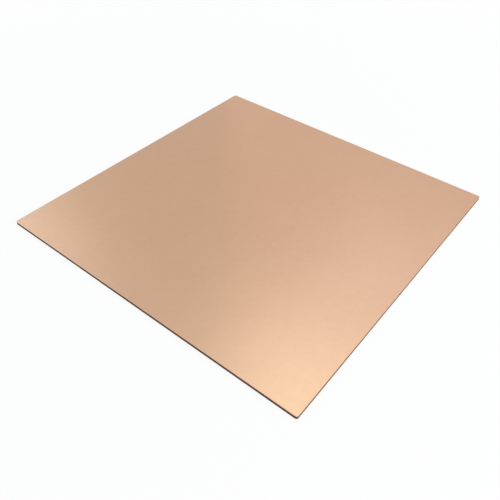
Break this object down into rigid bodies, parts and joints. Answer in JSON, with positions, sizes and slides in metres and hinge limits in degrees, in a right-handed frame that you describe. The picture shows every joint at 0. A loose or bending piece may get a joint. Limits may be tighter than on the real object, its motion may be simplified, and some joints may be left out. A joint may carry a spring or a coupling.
{
  "type": "copper clad board",
  "caption": "Square sheet of phenolic paper laminate with copper foil bonded to its upper face, blank stock for etching printed circuits.",
  "frame": {"origin": "centre of the underside, in the plane that the board rests on", "axes": "+Z out of the copper face, X along the length and Y along the width of the sheet"},
  "size_m": [0.15, 0.15, 0.0015],
  "materials": {
    "phenolic_laminate": "satin",
    "bright_copper": "satin"
  },
  "bodies": {
    "root": {"base_laminate": "phenolic_laminate", "copper_foil": "bright_copper"}
  },
  "joints": []
}
